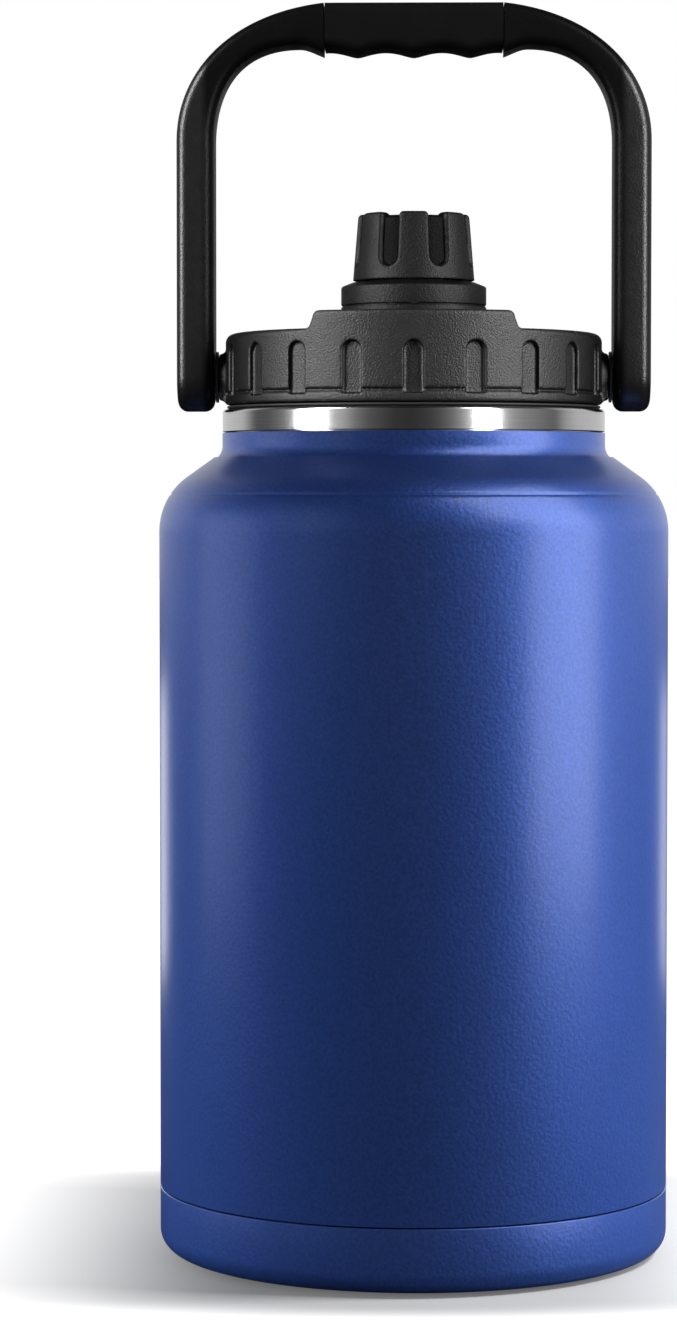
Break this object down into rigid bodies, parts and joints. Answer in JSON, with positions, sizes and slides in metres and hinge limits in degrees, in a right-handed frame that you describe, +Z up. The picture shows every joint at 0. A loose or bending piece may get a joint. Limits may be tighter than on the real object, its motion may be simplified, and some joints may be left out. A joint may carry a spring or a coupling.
{
  "type": "insulated water jug",
  "caption": "Large double-wall steel water jug with a screw lid, a fluted screw spout cap and a carry handle that swings over the lid.",
  "frame": {"origin": "centre of the flat face that the jug rests on", "axes": "+Z up along the jug's axis, +X along the handle's pivot axis towards the right leg, -Y to the front"},
  "size_m": [0.152, 0.152, 0.372],
  "materials": {
    "powder_coat": "fine orange-peel powder coat",
    "pad_rubber": "matte",
    "steel": "brushed round the axis",
    "getter_metal": "sintered",
    "seal_silicone": "matte",
    "lid_plastic": "fine pebbled",
    "plug_plastic": "satin",
    "foam": "foamed",
    "brass": "turned",
    "washer_nylon": "satin",
    "handle_plastic": "satin",
    "grip_rubber": "fine matte grain"
  },
  "bodies": {
    "jug": {"outer_shell": "powder_coat", "base_cup": "powder_coat", "base_pad": "pad_rubber", "vacuum_seal_bead": "steel", "getter_capsule": "getter_metal", "inner_liner": "steel"},
    "lid_seal": {"lid_gasket": "seal_silicone"},
    "lid": {"lid_shell": "lid_plastic", "lid_plug": "plug_plastic", "lid_insulation": "foam", "spout": "lid_plastic", "spout_gasket": "seal_silicone", "pivot_insert_left": "brass", "pivot_insert_right": "brass", "pivot_screw_left": "steel", "pivot_screw_right": "steel", "pivot_washer_left": "washer_nylon", "pivot_washer_right": "washer_nylon"},
    "cap_seal": {"cap_gasket": "seal_silicone"},
    "cap": {"cap_shell": "lid_plastic", "cap_liner": "plug_plastic"},
    "handle": {"handle_frame": "handle_plastic", "handle_grip": "grip_rubber", "pivot_cover_left": "handle_plastic", "pivot_cover_right": "handle_plastic"}
  },
  "joints": [
    {"name": "lid_rise", "type": "slide", "parent": "jug", "child": "lid_seal", "axis": [0, 0, 1], "range_m": [0, 0.0221]},
    {"name": "lid_turn", "type": "hinge", "parent": "lid_seal", "child": "lid", "pos_m": [0, 0, 0.2533], "axis": [0, 0, 1], "range_deg": [0, 990]},
    {"name": "cap_rise", "type": "slide", "parent": "lid", "child": "cap_seal", "axis": [0, 0, 1], "range_m": [0, 0.0151]},
    {"name": "cap_turn", "type": "hinge", "parent": "cap_seal", "child": "cap", "pos_m": [0, 0, 0.2903], "axis": [0, 0, 1], "range_deg": [0, 900]},
    {"name": "handle_swing", "type": "hinge", "parent": "lid", "child": "handle", "pos_m": [0, 0, 0.2617], "axis": [1, 0, 0], "range_deg": [-115, 115]}
  ],
  "couplings": [
    {"joint": "lid_rise", "follows": "lid_turn", "m_per_rad": 0.0012732},
    {"joint": "cap_rise", "follows": "cap_turn", "m_per_rad": 0.00095493}
  ]
}
